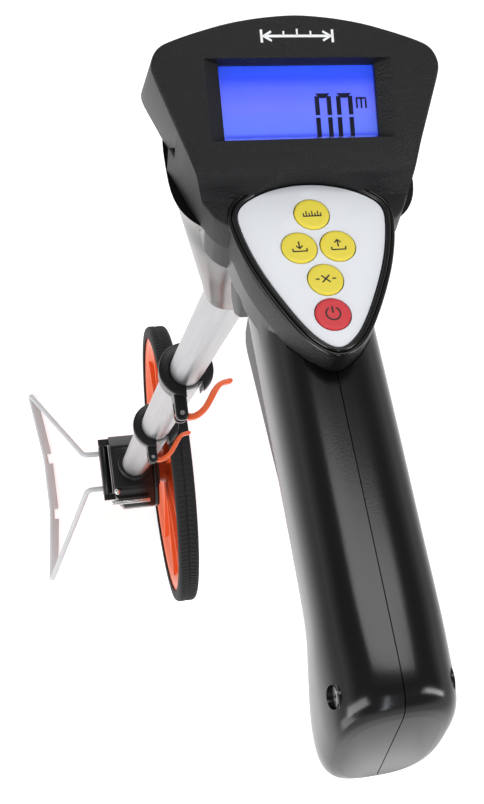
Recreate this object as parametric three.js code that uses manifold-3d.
// Digital measuring wheel, parked on its wire stand with the telescopic pole drawn out.
// Millimetres, +Z up, +Y is the direction of travel, +X is the wheel side.
import * as THREE from "three";
import { mergeVertices } from "three/addons/utils/BufferGeometryUtils.js";
import Module from "manifold-3d";

const wasm = await Module();
wasm.setup();

// ---------------------------------------------------------------- driving dimensions
const WHEEL_R = 159.15;          // one metre round
const WHEEL_W = 21;
const WHEEL_X = 41.5;            // wheel centre plane, beside the pole axis
const RIM_R = 150.5;             // outside of the moulded disc
const AXLE_R = 4;
const HUB_X0 = -25;
const HUB_X1 = 24;
const HUB_Y = [-46, 36];
const HUB_Z0 = 134;
const HUB_Z1 = 206;
const TUBE_R = [14, 12, 10];     // lower, middle, upper outside radii
const TUBE_WALL = 1.5;
const LOWER_Z = [178, 556];
const MIDDLE_Z = [494, 830];
const UPPER_Z = [768, 1106];
const CLAMP_Z = [560, 834];      // top faces of the two clamp collars
const CLAMP_H = 24;
const KEY_Z = 1209;              // where the pole axis crosses the keypad plane
const KEY_Y = 9.6;               // the same point, measured from the fold line
const HEAD_TILT = 20;            // degrees the keypad plane leans forward
const DISP_TILT = 28.9;          // degrees the display leans back from the keypad plane
const DISP_RISE = 7.8;           // height of the fold above the keypad plane
const COVER_WALL = 2.4;
const SHELL_WALL = 2.6;
const COVER_Z0 = -11;            // parting plane of the front cover
const PART_GAP = 0.15;
const NECK_END_Z = 1060;         // open end of the neck, world height
const BTN_R = 5.2;
const BUTTONS = [
  ["button_unit", 0, -10.7],
  ["button_store", -5.8, -22.2],
  ["button_recall", 5.8, -22.2],
  ["button_clear", 0, -33.5],
  ["button_power", 0, -45.2],
];
const LEVER_PIVOT = [-100, -36];  // y, z of the squeeze lever pin
const STAND_PIVOT = [-31, 170];  // x, z of the stand hinge pin
const FOOT_X = -106;
const FOOT_Y = 117;
const WIRE_R = 3;
const SHIFT = [25.03, 13.9, 0];  // puts the origin under the middle of the bounding box

const rad = (d) => (d * Math.PI) / 180;

// ---------------------------------------------------------------- outlines
const FAN = [
  [33.1, 0], [35.6, 7.3], [38.2, 14.7], [40.4, 21], [42.2, 26.2], [42.8, 29.6], [41.5, 32.9],
  [38.4, 35.6], [32.7, 37.8], [27, 39.5], [20, 41.3], [12.5, 42.6], [6, 43.3], [0, 43.6],
];
const SHIELD = [
  [0, 0], [6, -0.5], [12, -2], [17.2, -4.5], [20.6, -7.2], [22, -10.2], [21.9, -14], [20.5, -21],
  [18, -29], [14.6, -37], [10.6, -45], [7, -50.8], [4, -54], [1.6, -55.6], [0, -55.9],
];
const SKIRT = [
  [38.5, 16], [33.1, 0], [28.9, -9.3], [24.6, -12.6], [23.6, -19], [21.4, -28.5], [17.8, -37.5],
  [13.4, -46], [8.8, -52.8], [5, -56.4], [2.2, -58.2], [0, -58.6],
];

function mirrorOutline(half) {
  const right = half.map((p) => [p[0], p[1]]);
  const left = half
    .filter((p) => p[0] > 0.001)
    .map((p) => [-p[0], p[1]])
    .reverse();
  return right.concat(left);
}

function area(pts) {
  let a = 0;
  for (let i = 0; i < pts.length; i++) {
    const p = pts[i];
    const q = pts[(i + 1) % pts.length];
    a += p[0] * q[1] - q[0] * p[1];
  }
  return a / 2;
}

// move every edge of a closed outline outward by d (negative goes inward)
function offset(pts, d) {
  const src = area(pts) > 0 ? pts : pts.slice().reverse();
  const n = src.length;
  const out = [];
  for (let i = 0; i < n; i++) {
    const a = src[(i + n - 1) % n];
    const b = src[i];
    const c = src[(i + 1) % n];
    const l1 = Math.hypot(b[0] - a[0], b[1] - a[1]);
    const l2 = Math.hypot(c[0] - b[0], c[1] - b[1]);
    const n1 = [(b[1] - a[1]) / l1, -(b[0] - a[0]) / l1];
    const n2 = [(c[1] - b[1]) / l2, -(c[0] - b[0]) / l2];
    const k = 1 + n1[0] * n2[0] + n1[1] * n2[1];
    const s = d / Math.max(k, 0.35);
    out.push([b[0] + (n1[0] + n2[0]) * s, b[1] + (n1[1] + n2[1]) * s]);
  }
  return out;
}

// ---------------------------------------------------------------- solids
function solid(geo) {
  const g = geo.index ? geo.toNonIndexed() : geo;
  g.deleteAttribute("normal");
  g.deleteAttribute("uv");
  const m = mergeVertices(g, 1e-4);
  const mesh = new wasm.Mesh({
    numProp: 3,
    vertProperties: new Float32Array(m.attributes.position.array),
    triVerts: new Uint32Array(m.index.array),
  });
  return new wasm.Manifold(mesh);
}

function ccw(pts) {
  return area(pts) > 0 ? pts : pts.slice().reverse();
}

// prism over an outline in x-y, from z0 to z1
function prism(pts, z0, z1, holes = []) {
  const cs = new wasm.CrossSection([ccw(pts)].concat(holes.map((h) => ccw(h).slice().reverse())));
  return cs.extrude(z1 - z0).translate([0, 0, z0]);
}

// prism over an outline in y-z, from x0 to x1
function prismX(pts, x0, x1) {
  const s = new wasm.CrossSection([ccw(pts)]).extrude(x1 - x0);
  return s.transform([0, 1, 0, 0, 0, 0, 1, 0, 1, 0, 0, 0, x0, 0, 0, 1]);
}

// prism over an outline in x-z, from y0 to y1
function prismY(pts, y0, y1) {
  const s = new wasm.CrossSection([ccw(pts)]).extrude(y1 - y0);
  return s.rotate([90, 0, 0]).translate([0, y1, 0]);
}

function box(x0, x1, y0, y1, z0, z1) {
  return wasm.Manifold.cube([x1 - x0, y1 - y0, z1 - z0]).translate([x0, y0, z0]);
}

function cylZ(r, z0, z1, x = 0, y = 0, n = 32) {
  return wasm.Manifold.cylinder(z1 - z0, r, r, n).translate([x, y, z0]);
}

function cylX(r, x0, x1, y = 0, z = 0, n = 32) {
  return wasm.Manifold.cylinder(x1 - x0, r, r, n).rotate([0, 90, 0]).translate([x0, y, z]);
}

function cylY(r, y0, y1, x = 0, z = 0, n = 24) {
  return wasm.Manifold.cylinder(y1 - y0, r, r, n).rotate([-90, 0, 0]).translate([x, y0, z]);
}

// solid of revolution about X from a closed profile of [x, r]
function turnX(profile, n) {
  const cs = new wasm.CrossSection([ccw(profile.map((p) => [p[1], p[0]]))]);
  return cs.revolve(n).rotate([0, 90, 0]);
}

// skin over rings that all have the same number of points
function loft(rings) {
  const n = rings[0].length;
  const pos = [];
  rings.forEach((r) => r.forEach((p) => pos.push(p[0], p[1], p[2])));
  const idx = [];
  for (let k = 0; k < rings.length - 1; k++) {
    for (let i = 0; i < n; i++) {
      const a = k * n + i;
      const b = k * n + ((i + 1) % n);
      idx.push(a, b, b + n, a, b + n, a + n);
    }
  }
  const cap = (k, flip) => {
    const c = [0, 0, 0];
    rings[k].forEach((p) => p.forEach((v, j) => (c[j] += v / n)));
    const ci = pos.length / 3;
    pos.push(...c);
    for (let i = 0; i < n; i++) {
      const a = k * n + i;
      const b = k * n + ((i + 1) % n);
      if (flip) idx.push(b, a, ci);
      else idx.push(a, b, ci);
    }
  };
  cap(0, true);
  cap(rings.length - 1, false);
  const g = new THREE.BufferGeometry();
  g.setAttribute("position", new THREE.Float32BufferAttribute(pos, 3));
  g.setIndex(idx);
  let s = solid(g);
  if (s.volume() < 0) {
    for (let i = 0; i < idx.length; i += 3) {
      const t = idx[i];
      idx[i] = idx[i + 1];
      idx[i + 1] = t;
    }
    g.setIndex(idx);
    s = solid(g);
  }
  return s;
}

// superellipse-cornered ring: half width w, from v0 to v1, corner power e
function squircle(w, v0, v1, e, n) {
  const out = [];
  for (let i = 0; i < n; i++) {
    const t = (2 * Math.PI * i) / n;
    const c = Math.cos(t);
    const s = Math.sin(t);
    const u = Math.sign(c) * Math.pow(Math.abs(c), 2 / e) * w;
    const v = Math.sign(s) * Math.pow(Math.abs(s), 2 / e) * ((v1 - v0) / 2) + (v0 + v1) / 2;
    out.push([u, v]);
  }
  return out;
}

// round bar along a polyline with rounded bends
function wire(points, r, bend, sides) {
  const P = points.map((p) => new THREE.Vector3(...p));
  const path = new THREE.CurvePath();
  const corners = bend > 0 ? P.length - 1 : 1;
  let from = P[0];
  for (let i = 1; i < corners; i++) {
    const a = P[i].clone().sub(P[i - 1]).normalize();
    const b = P[i + 1].clone().sub(P[i]).normalize();
    const p0 = P[i].clone().addScaledVector(a, -bend);
    const p1 = P[i].clone().addScaledVector(b, bend);
    path.add(new THREE.LineCurve3(from, p0));
    path.add(new THREE.QuadraticBezierCurve3(p0, P[i], p1));
    from = p1;
  }
  path.add(new THREE.LineCurve3(from, P[P.length - 1]));
  const centre = bend > 0 ? [] : P;
  if (bend > 0) path.curves.forEach((c, i) => {
    const steps = c.type === "LineCurve3" ? 1 : 5;
    for (let k = i === 0 ? 0 : 1; k <= steps; k++) centre.push(c.getPoint(k / steps));
  });
  const rings = [];
  let ref = null;
  centre.forEach((p, i) => {
    const a = centre[Math.max(i - 1, 0)];
    const b = centre[Math.min(i + 1, centre.length - 1)];
    const t = b.clone().sub(a).normalize();
    if (!ref) ref = Math.abs(t.z) < 0.9 ? new THREE.Vector3(0, 0, 1) : new THREE.Vector3(1, 0, 0);
    const u = ref.clone().addScaledVector(t, -ref.dot(t)).normalize();
    const v = t.clone().cross(u);
    ref = u;
    const ring = [];
    for (let k = 0; k < sides; k++) {
      const q = (2 * Math.PI * k) / sides;
      const w = p.clone().addScaledVector(u, Math.cos(q) * r).addScaledVector(v, Math.sin(q) * r);
      ring.push([w.x, w.y, w.z]);
    }
    rings.push(ring);
  });
  return loft(rings);
}

// ---------------------------------------------------------------- frames of the head
const headMatrix = new THREE.Matrix4()
  .makeTranslation(0, 0, KEY_Z)
  .multiply(new THREE.Matrix4().makeRotationX(-rad(HEAD_TILT)))
  .multiply(new THREE.Matrix4().makeTranslation(0, -KEY_Y, 0));
const dispMatrix = new THREE.Matrix4()
  .makeTranslation(0, 0, DISP_RISE)
  .multiply(new THREE.Matrix4().makeRotationX(rad(DISP_TILT)));
const toHead = (s) => s.transform(headMatrix.elements);
const toDisp = (s) => s.transform(dispMatrix.elements);

// ---------------------------------------------------------------- materials and group
const MATS = {
  abs_black: [0x15171a, 0.45, 0],
  abs_matte: [0x1b1c1e, 0.8, 0],
  abs_white: [0xe9ebee, 0.5, 0],
  yellow: [0xf0dc3c, 0.55, 0],
  red: [0xd8353b, 0.55, 0],
  orange: [0xee6a2e, 0.5, 0],
  alu: [0xc4c7ca, 0.35, 0.9],
  steel: [0xb9bcbf, 0.3, 1],
  rubber: [0x1e1e1f, 0.9, 0],
  glass: [0x9fb4ff, 0.08, 0],
  lcd: [0x3f52e0, 0.3, 0],
  board: [0x1f6a3a, 0.6, 0],
  cell: [0x4a5668, 0.4, 0.4],
  magnet: [0x4b4b4e, 0.5, 0.6],
};
const root = new THREE.Group();
root.name = "measuring_wheel";

function put(name, s, mat) {
  const m = s.getMesh();
  const g = new THREE.BufferGeometry();
  g.setAttribute("position", new THREE.BufferAttribute(new Float32Array(m.vertProperties), 3));
  g.setIndex(new THREE.BufferAttribute(new Uint32Array(m.triVerts), 1));
  g.translate(SHIFT[0], SHIFT[1], SHIFT[2]);
  const flat = g.toNonIndexed();
  flat.computeVertexNormals();
  const [color, roughness, metalness] = MATS[mat];
  const mesh = new THREE.Mesh(flat, new THREE.MeshStandardMaterial({ color, roughness, metalness }));
  mesh.name = name;
  root.add(mesh);
}

// ---------------------------------------------------------------- front cover
function coverBody(inset, drop, z0) {
  const fan = offset(mirrorOutline(FAN), -inset);
  const skirt = offset(mirrorOutline(SKIRT), -inset);
  const clip = box(-80, 80, -80, 90, z0, 60);
  const display = toDisp(prism(fan, -62, -drop)).intersect(clip);
  const plate = prism(skirt, z0, -drop);
  const profile = [
    [-4.2, -6], [-4.2, -drop], [-0.6, DISP_RISE - drop - 1], [0.2, DISP_RISE - drop], [12, DISP_RISE + 5 - drop], [12, -6],
  ];
  const wide = offset(mirrorOutline(SKIRT), -inset);
  const ramp = prismX(profile, -45, 45).intersect(prism(wide, z0, 40));
  return display.add(plate).add(ramp);
}

function windowRect(w, s0, s1) {
  return [[-w, s0], [w, s0], [w, s1], [-w, s1]];
}

const ringOuter = offset(mirrorOutline(SHIELD), 2.2);
const shieldPocket = offset(mirrorOutline(SHIELD), 0.35);
let cover = coverBody(0, 0, COVER_Z0);
cover = cover.subtract(coverBody(COVER_WALL, COVER_WALL, COVER_Z0 - 1));
cover = cover.add(toDisp(prism(windowRect(28.5, 6.4, 34), -6.2, -0.6)));
cover = cover.add(prism(ringOuter, -2.4, 1.1).intersect(box(-40, 40, -60, -4.3, -3, 3)));
cover = cover.subtract(prism(shieldPocket, -0.7, 12).intersect(box(-40, 40, -60, 0.4, -0.7, 6)));
const pocketRings = [
  windowRect(23.4, 9.3, 30.6).map((p) => [p[0], p[1], -7]),
  windowRect(23.4, 9.3, 30.6).map((p) => [p[0], p[1], -3]),
  windowRect(28.1, 8.7, 31.6).map((p) => [p[0], p[1], 0.4]),
];
cover = cover.subtract(toDisp(loft(pocketRings)));
for (const [, x, y] of BUTTONS) cover = cover.subtract(cylZ(BTN_R + 0.4, -6, 4, x, y, 32));
put("front_cover", toHead(cover), "abs_matte");

put("display_window", toHead(toDisp(prism(windowRect(23, 9.7, 30.2), -4.6, -3.4))), "glass");
put("lcd_module", toHead(toDisp(prism(windowRect(26, 7.4, 32.6), -10, -6.6))), "lcd");
put("main_board", toHead(toDisp(prism(windowRect(27, 6, 36), -13.2, -11.6))), "board");

// ---------------------------------------------------------------- keypad
let overlay = prism(mirrorOutline(SHIELD), -0.4, 0.5);
for (const [, x, y] of BUTTONS) overlay = overlay.subtract(cylZ(BTN_R + 0.3, -2, 2, x, y, 32));
put("keypad_overlay", toHead(overlay), "abs_white");
for (const [name, x, y] of BUTTONS) {
  const cap = cylZ(BTN_R, -4.2, 1.1, x, y, 32);
  put(name, toHead(cap), name === "button_power" ? "red" : "yellow");
}
const matOutline = offset(mirrorOutline(SHIELD), -3.2);
put("switch_mat", toHead(prism(matOutline, -6.4, -5.2)), "rubber");
put("keypad_board", toHead(prism(matOutline, -8.4, -6.8)), "board");

// ---------------------------------------------------------------- neck and grip halves
const RING_N = 24;
// z, half width, back y, front y of the neck, in the head frame
const NECK = [
  [-11.3, 38.8, -10, 46], [-26, 35.6, -2, 50.5], [-46, 31.5, 4, 55.5], [-72, 26.5, 15, 60],
  [-100, 21.3, 28, 66], [-130, 15.8, 41.5, 73], [-146, 13.6, 49, 77], [-200, 12.6, 69.6, 95.2],
];
// y, half width, bottom z, top z of the grip
const GRIP = [
  [18, 17, -47, -12, 0], [0, 17.6, -47, -10, 0], [-25, 18, -47, -9.2, 0], [-70, 18.2, -46, -8.4, 0],
  [-110, 18.2, -46, -7.8, 0], [-128, 18.4, -47.5, -7.6, 0], [-138, 18.9, -55, -7.6, 1],
  [-147, 19.2, -63.6, -7.6, 3.2], [-153.4, 19.2, -66.4, -7.9, 5.4], [-157.8, 18.8, -66.3, -8.6, 6.8],
  [-160.9, 17.8, -65.2, -10.2, 7.2], [-162.83, 16, -63, -12.8, 7.2], [-163.63, 13.4, -60, -16.4, 6.6],
];

function neckBody(w) {
  const rings = NECK.map(([z, hw, y0, y1], i) => {
    const e = i < 2 ? 3.2 : 3.6;
    return squircle(hw - w, y0 + w, y1 - w, e, RING_N).map((p) => [p[0], p[1], z]);
  });
  return loft(rings);
}

function gripBody(w) {
  const rings = GRIP.map(([y, hw, z0, z1, lean], i) => {
    const yy = i >= GRIP.length - 3 ? y + w * [0.5, 0.8, 1][i - GRIP.length + 3] : y;
    return squircle(hw - w, z0 + w, z1 - w, 2.9, RING_N).map((p) => [
      p[0], yy + lean * ((p[1] - (z0 + z1) / 2) / (z1 - z0)), p[1],
    ]);
  });
  return loft(rings);
}

const pad = prism(offset(mirrorOutline(SKIRT), -0.8), -22, COVER_Z0 - 0.3).intersect(
  box(-30, 30, -60, 12, -40, 20),
);
let headShell = toHead(neckBody(0)).add(toHead(gripBody(0))).add(toHead(pad));
headShell = headShell.subtract(toHead(box(-90, 90, -30, 120, COVER_Z0 - 0.3, 60)));
headShell = headShell.subtract(toHead(prism(offset(mirrorOutline(SKIRT), 0.3), COVER_Z0 - 0.3, 30)));
headShell = headShell.subtract(box(-90, 90, -300, 300, 700, NECK_END_Z));
const hollow = toHead(neckBody(SHELL_WALL)).subtract(box(-90, 90, -300, 300, 700, NECK_END_Z + 48));
headShell = headShell.subtract(hollow);
headShell = headShell.subtract(toHead(gripBody(SHELL_WALL)));
headShell = headShell.subtract(
  toHead(prism(offset(mirrorOutline(SKIRT), -3.4), -24, COVER_Z0).intersect(box(-30, 30, -60, 12, -40, 0))),
);
headShell = headShell.subtract(cylZ(TUBE_R[2] + 0.35, 900, 1150, 0, 0, 40));
// slot of the squeeze lever, with a rounded rear end
const SLOT_W = 14.8;
const slot = box(-SLOT_W, SLOT_W, LEVER_PIVOT[0], -8.2, -70, -30)
  .add(cylX(8.4, -SLOT_W, SLOT_W, LEVER_PIVOT[0], LEVER_PIVOT[1], 24));
headShell = headShell.subtract(toHead(slot));
const PIN_HALF = 15.8;
headShell = headShell.subtract(toHead(cylX(1.8, -PIN_HALF - 0.4, PIN_HALF + 0.4, LEVER_PIVOT[0], LEVER_PIVOT[1], 20)));
// screw counterbores on the left side and the lanyard hole in the pommel
const SCREWS = [["screw_upper", -24, -24], ["screw_lower", -151, -18.5]];
for (const [, y, z] of SCREWS) {
  headShell = headShell.add(toHead(cylX(3.9, -16.2, 16.2, y, z, 20)));
  headShell = headShell.subtract(toHead(cylX(3.3, -60, -14.2, y, z, 20)));
  headShell = headShell.subtract(toHead(cylX(1.6, -60, 12, y, z, 12)));
}
headShell = headShell.subtract(toHead(cylX(2.2, -40, 40, -153, -57, 16)));
// drops the paper-thin slivers a cut can leave beside the real piece
const largest = (s) => s.decompose().sort((a, b) => b.volume() - a.volume())[0];
put("left_shell", largest(headShell.intersect(box(-200, -PART_GAP, -400, 400, 600, 1500))), "abs_black");
put("right_shell", largest(headShell.intersect(box(PART_GAP, 200, -400, 400, 600, 1500))), "abs_black");

// cross-slotted screws sunk in the left half
for (const [name, y, z] of SCREWS) {
  const x = -16.5;
  let head = cylX(2.9, x, x + 2, y, z, 20).add(cylX(1.3, x, 11, y, z, 12));
  head = head.subtract(box(x - 1, x + 0.9, y - 2, y + 2, z - 0.4, z + 0.4));
  head = head.subtract(box(x - 1, x + 0.9, y - 0.4, y + 0.4, z - 2, z + 2));
  put(name, toHead(head), "steel");
}

// ---------------------------------------------------------------- squeeze lever and what is in the grip
const [LY, LZ] = LEVER_PIVOT;
const leverSide = [
  [LY - 4.4, LZ + 1], [LY - 2, LZ + 4], [LY + 2, LZ + 4.4], [-70, -35.2], [-40, -38], [-11.4, -41.5],
  [-10.4, -43], [-11, -62], [-13.4, -66.2], [-18, -66.4], [-40, -61], [-60, -56.5], [-80, -51.5],
  [LY + 4, -46.6], [LY - 1, -42.6], [LY - 4.6, -39.6],
];
let lever = prismX(leverSide, -SLOT_W + 0.5, SLOT_W - 0.5);
const leverHollow = [
  [LY - 8, LZ + 9], [LY - 8, LZ - 3.3], [LY, LZ - 3.8], [LY + 6, -43.6], [-80, -49.2], [-60, -54.2], [-40, -58.6],
  [-18, -63.6], [-14.6, -63.4], [-12.8, -61], [-12.8, -30],
];
lever = lever.subtract(prismX(leverHollow, -SLOT_W + 2.6, SLOT_W - 2.6));
lever = lever.subtract(cylX(1.8, -20, 20, LY, LZ, 20));
put("squeeze_lever", toHead(lever), "abs_matte");
put("lever_pin", toHead(cylX(1.5, -PIN_HALF, PIN_HALF, LY, LZ, 20)), "steel");
const guard = [[-8.6, -47.7], [2.6, -47.7], [5.8, -55], [9.4, -63], [6, -68], [-1, -68], [-6.6, -61]];
put("finger_guard", toHead(prismX(guard, -16, 16)), "abs_matte");

const coil = [[-5.2, LY + 12, LZ + 4.2]];
for (let i = 0; i <= 36; i++) {
  const t = Math.PI / 2 - (i / 9) * 2 * Math.PI;
  coil.push([-5.2 + 10 * (i / 36), LY + Math.cos(t) * 2.6, LZ + Math.sin(t) * 2.6]);
}
put("lever_spring", toHead(wire(coil, 0.4, 0, 5)), "steel");
put("micro_switch", toHead(box(-5, 5, -46, -34, -31.2, -23)), "abs_matte");
put("battery_left", toHead(cylY(6.8, -146.4, -97.6, -7, -19.5, 24)), "cell");
put("battery_right", toHead(cylY(6.8, -146.4, -97.6, 7, -19.5, 24)), "cell");
put("battery_contact", toHead(box(-12.5, 12.5, -97.2, -96.4, -25.5, -15.5)), "steel");

// ---------------------------------------------------------------- telescopic pole
function tube(r, z0, z1) {
  return cylZ(r, z0, z1, 0, 0, 40).subtract(cylZ(r - TUBE_WALL, z0 - 1, z1 + 1, 0, 0, 40));
}
put("lower_tube", tube(TUBE_R[0], LOWER_Z[0], LOWER_Z[1]), "alu");
put("middle_tube", tube(TUBE_R[1], MIDDLE_Z[0], MIDDLE_Z[1]), "alu");
put("upper_tube", tube(TUBE_R[2], UPPER_Z[0], UPPER_Z[1]), "alu");

// split collar around the top of an outer tube, its lever, its pin and its screw
const CLAMP_EAR_Y = -25.5;
function clampCollar(rOuter, rInner, top) {
  const z0 = top - CLAMP_H;
  let c = cylZ(rOuter + 3.4, z0, top, 0, 0, 44);
  c = c.add(box(-9, 9, CLAMP_EAR_Y - 4.6, -rOuter + 1, z0 + 3, top - 3));
  c = c.add(cylZ(rOuter + 4.6, top - 3.4, top, 0, 0, 44));
  c = c.subtract(cylZ(rOuter + 0.35, z0 - 1, top - 3.6, 0, 0, 44));
  c = c.subtract(cylZ(rInner + 0.35, top - 5, top + 1, 0, 0, 44));
  c = c.subtract(box(-1.4, 9.2, CLAMP_EAR_Y - 8, -rInner + 2, z0 - 1, top + 1));
  c = c.subtract(box(-9.2, 9.2, CLAMP_EAR_Y - 8, -rOuter - 6.5, z0 + 8.4, top - 8.4));
  c = c.subtract(cylZ(1.8, z0 - 1, top + 1, -5, CLAMP_EAR_Y, 20));
  return c;
}
const leverCurve = [
  [-5, 0], [0, -2.2], [5, -1.2], [10, 2.6], [14, 8], [17.6, 13.4], [21.6, 16.8], [27.5, 18],
];
function clampLever(top) {
  const up = [];
  const down = [];
  leverCurve.forEach(([x, y], i) => {
    const a = leverCurve[Math.max(i - 1, 0)];
    const b = leverCurve[Math.min(i + 1, leverCurve.length - 1)];
    const l = Math.hypot(b[0] - a[0], b[1] - a[1]);
    const nx = -(b[1] - a[1]) / l;
    const ny = (b[0] - a[0]) / l;
    const h = i === 0 ? 2.4 : i > 5 ? 1.5 : 1.9;
    up.push([x + nx * h, y + ny * h]);
    down.push([x - nx * h, y - ny * h]);
  });
  const outline = up.concat(down.reverse()).map(([x, y]) => [x, y + CLAMP_EAR_Y]);
  const z0 = top - CLAMP_H + 8.8;
  const z1 = top - 8.8;
  let l = prism(outline, z0, z1);
  l = l.add(cylZ(3.7, z0, z1, -5, CLAMP_EAR_Y, 24));
  return l.subtract(cylZ(1.8, z0 - 1, z1 + 1, -5, CLAMP_EAR_Y, 20));
}
["lower", "middle"].forEach((which, i) => {
  const top = CLAMP_Z[i];
  put(`${which}_collar`, clampCollar(TUBE_R[i], TUBE_R[i + 1], top), "abs_black");
  put(`${which}_clamp_lever`, clampLever(top), "orange");
  put(`${which}_clamp_pin`, cylZ(1.5, top - CLAMP_H + 3.4, top - 3.4, -5, CLAMP_EAR_Y, 16), "steel");
});
// guide bushes fixed on the lower ends of the sliding tubes
function bush(rTube, rBore, z0) {
  let b = cylZ(rBore - 0.3, z0 - 9, z0 - 0.3, 0, 0, 36);
  b = b.subtract(cylZ(rTube - TUBE_WALL - 1, z0 - 10, z0 + 1, 0, 0, 28));
  return b;
}
put("middle_bush", bush(TUBE_R[1], TUBE_R[0] - TUBE_WALL, MIDDLE_Z[0]), "abs_white");
put("upper_bush", bush(TUBE_R[2], TUBE_R[1] - TUBE_WALL, UPPER_Z[0]), "abs_white");

// ---------------------------------------------------------------- hub box
const [HY0, HY1] = HUB_Y;
const hubPlan = [
  [HY0, HUB_Z0 + 16], [HY0 + 14, HUB_Z0], [HY1 - 14, HUB_Z0], [HY1, HUB_Z0 + 16],
  [HY1, HUB_Z1 - 22], [HY1 - 14, HUB_Z1], [HY0 + 20, HUB_Z1], [HY0, HUB_Z1 - 26],
];
// the rear corner on the stand side is cut off at a slant
const hubCorner = (d) => prism([[HUB_X0 - 9, HY0 - 9], [HUB_X0 + 17 + d, HY0 - 9], [HUB_X0 - 9, HY0 + 27 + d]], 90, 260);
const COVER_T = 5;
let hub = prismX(hubPlan, HUB_X0, HUB_X1 - COVER_T - 0.3).subtract(hubCorner(0));
hub = hub.subtract(prismX(offset(hubPlan, -3), HUB_X0 + 3, HUB_X1).subtract(hubCorner(5)));
hub = hub.add(cylZ(TUBE_R[0] + 4.5, LOWER_Z[0] - 4, HUB_Z1 + 14, 0, 0, 40)
  .subtract(box(HUB_X1 - COVER_T - 0.3, 60, -60, 60, 100, 230)));
hub = hub.subtract(cylZ(TUBE_R[0] + 0.3, LOWER_Z[0] - 0.5, HUB_Z1 + 30, 0, 0, 40));
hub = hub.add(cylX(9, HUB_X0, HUB_X0 + 14, 0, WHEEL_R, 24));
hub = hub.subtract(cylX(AXLE_R + 0.3, HUB_X0 + 3.5, HUB_X0 + 16, 0, WHEEL_R, 24));
const [SX, SZ] = STAND_PIVOT;
for (const side of [-1, 1]) {
  const y0 = side < 0 ? -34.5 : 27.6;
  hub = hub.add(box(SX - 5, HUB_X0 + 1, y0, y0 + 6.9, SZ - 5, SZ + 5));
}
hub = hub.subtract(cylY(1.8, -60, 60, SX, SZ, 20));
put("hub_box", hub, "abs_black");

let hubLid = prismX(hubPlan, HUB_X1 - COVER_T, HUB_X1);
hubLid = hubLid.subtract(cylX(11.3, HUB_X0, 60, 0, WHEEL_R, 32));
put("hub_cover", hubLid, "abs_black");
// carrier of the bearings, a flanged steel bush in the cover
const carrier = turnX([[HUB_X1 - 12, 8.2], [HUB_X1 - 12, 11], [HUB_X1 + 1.5, 11], [HUB_X1 + 1.5, 8.2]], 32);
put("bearing_carrier", carrier.translate([0, 0, WHEEL_R]), "steel");
const ringAt = (x0, x1, r0, r1, n = 32) => turnX([[x0, r0], [x0, r1], [x1, r1], [x1, r0]], n).translate([0, 0, WHEEL_R]);
put("bearing_inner", ringAt(HUB_X1 - 11.6, HUB_X1 - 6.6, AXLE_R + 0.3, 7.9), "steel");
put("bearing_outer", ringAt(HUB_X1 - 4, HUB_X1 + 1, AXLE_R + 0.3, 7.9), "steel");
const WHEEL_X1 = WHEEL_X + WHEEL_W / 2;
put("axle_bolt", cylX(AXLE_R, HUB_X0 + 4, WHEEL_X1 + 5, 0, WHEEL_R, 28), "steel");
put("axle_nut", cylX(6.5, WHEEL_X1 + 1.2, WHEEL_X1 + 6.4, 0, WHEEL_R, 6)
  .subtract(cylX(AXLE_R + 0.3, 0, 90, 0, WHEEL_R, 28)), "steel");

// ---------------------------------------------------------------- wheel
const W0 = WHEEL_X - WHEEL_W / 2;
const WMID = WHEEL_X;
const disc = [
  [W0 + 1.5, AXLE_R + 0.35], [W0 - 2.5, 15], [W0 - 2.5, 17.5], [W0 + 4, 19.5], [WMID - 1.3, 24],
  [WMID - 1.3, 128], [W0 + 3, 136], [W0 + 2, 141], [W0 + 2, RIM_R], [WHEEL_X1 - 2, RIM_R], [WHEEL_X1 - 2, 141],
  [WHEEL_X1 - 3, 136], [WMID + 1.3, 128], [WMID + 1.3, 24], [WHEEL_X1 - 4, 19.5], [WHEEL_X1, 17.5], [WHEEL_X1, AXLE_R + 0.35],
];
disc[0] = [W0 - 2.5, AXLE_R + 0.35];
disc.splice(1, 1);
let wheel = turnX(disc, 60);
const RIBS = 10;
for (let i = 0; i < RIBS; i++) {
  const rib = box(W0 + 4, WHEEL_X1 - 4, -1.4, 1.4, 18, 137);
  wheel = wheel.add(rib.rotate([(360 * i) / RIBS, 0, 0]));
}
put("wheel_disc", wheel.translate([0, 0, WHEEL_R]), "orange");
const tyreProfile = [
  [W0, RIM_R - 4], [W0, WHEEL_R - 2.4], [W0 + 2.4, WHEEL_R], [WHEEL_X1 - 2.4, WHEEL_R], [WHEEL_X1, WHEEL_R - 2.4],
  [WHEEL_X1, RIM_R - 4], [WHEEL_X1 - 1.7, RIM_R - 4], [WHEEL_X1 - 1.7, RIM_R + 0.3], [W0 + 1.7, RIM_R + 0.3], [W0 + 1.7, RIM_R - 4],
];
put("tyre", turnX(tyreProfile, 60).translate([0, 0, WHEEL_R]), "rubber");
// ring of magnets read by the counter board
put("magnet_ring", ringAt(HUB_X1 + 2.2, HUB_X1 + 4.1, 15.8, 21.5, 40), "magnet");
put("sensor_board", box(HUB_X1 - 8.4, HUB_X1 - 6.8, 13, 32, 158, 180), "board");

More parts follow.
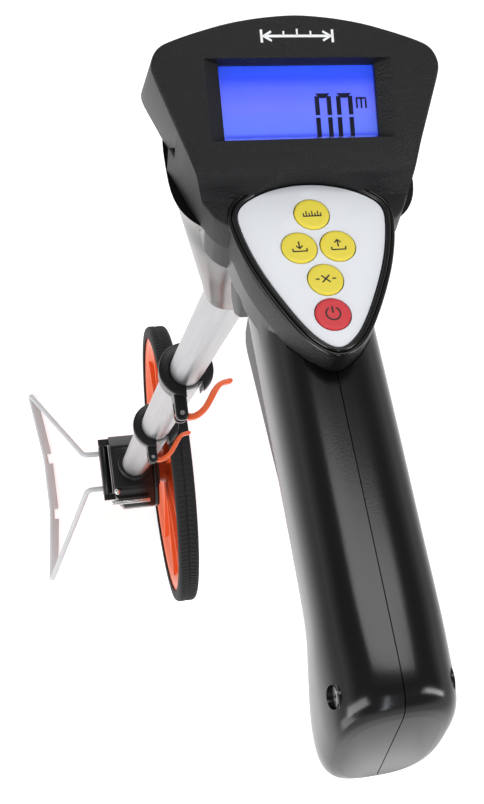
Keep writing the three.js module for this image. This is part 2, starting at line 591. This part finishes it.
// ---------------------------------------------------------------- folding stand
let yoke = box(SX - 5, SX + 5, -27, 27, SZ - 20, SZ).add(cylY(5, -27, 27, SX, SZ, 24));
yoke = yoke.subtract(cylY(1.8, -40, 40, SX, SZ, 20));
const STUB_Y = 20;
const STUB_Z = SZ - 12;
for (const y of [-STUB_Y, STUB_Y]) yoke = yoke.subtract(cylX(WIRE_R + 0.3, SX - 8, SX + 3, y, STUB_Z, 20));
put("stand_yoke", yoke, "abs_black");
// rod and ball-headed screw that lie over the rear shoulder of the hub box
const SHOULDER_Y = HY0 + 6.4;
const SHOULDER_Z = HUB_Z1 - 11;
put("rest_rod", cylX(2.6, HUB_X0 - 4, HUB_X0 + 38, SHOULDER_Y, SHOULDER_Z, 16), "steel");
const ball = wasm.Manifold.sphere(3.4, 20).translate([HUB_X0 + 2.6, HY0 + 17.6, HUB_Z1 + 2.6]);
put("ball_screw", ball.subtract(box(-60, 60, -80, 80, 0, HUB_Z1 + 0.3)), "steel");
put("stand_pin", cylY(1.5, -34, 34, SX, SZ, 16), "steel");
const GROUND = WIRE_R;
const frame = [
  [SX + 2.6, STUB_Y, STUB_Z], [SX - 22, STUB_Y, STUB_Z], [FOOT_X, FOOT_Y, GROUND],
  [FOOT_X + 10, 34, GROUND], [FOOT_X + 10, -34, GROUND],
  [FOOT_X, -FOOT_Y, GROUND], [SX - 22, -STUB_Y, STUB_Z], [SX + 2.6, -STUB_Y, STUB_Z],
];
// flat runners on the ground bar
const runner = (xa, ya, xb, yb) => prism([[xa - 2.4, ya], [xb - 2.4, yb], [xb + 8, yb], [xa + 8, ya]], 0.1, 5.9);
let standFrame = wire(frame, WIRE_R, 6, 10);
standFrame = standFrame.add(runner(FOOT_X + 1.5, FOOT_Y - 12, FOOT_X + 9.2, 41));
standFrame = standFrame.add(runner(FOOT_X + 10, 29, FOOT_X + 10, -29));
standFrame = standFrame.add(runner(FOOT_X + 9.2, -41, FOOT_X + 1.5, -FOOT_Y + 12));
put("stand_frame", standFrame, "steel");

export default root;
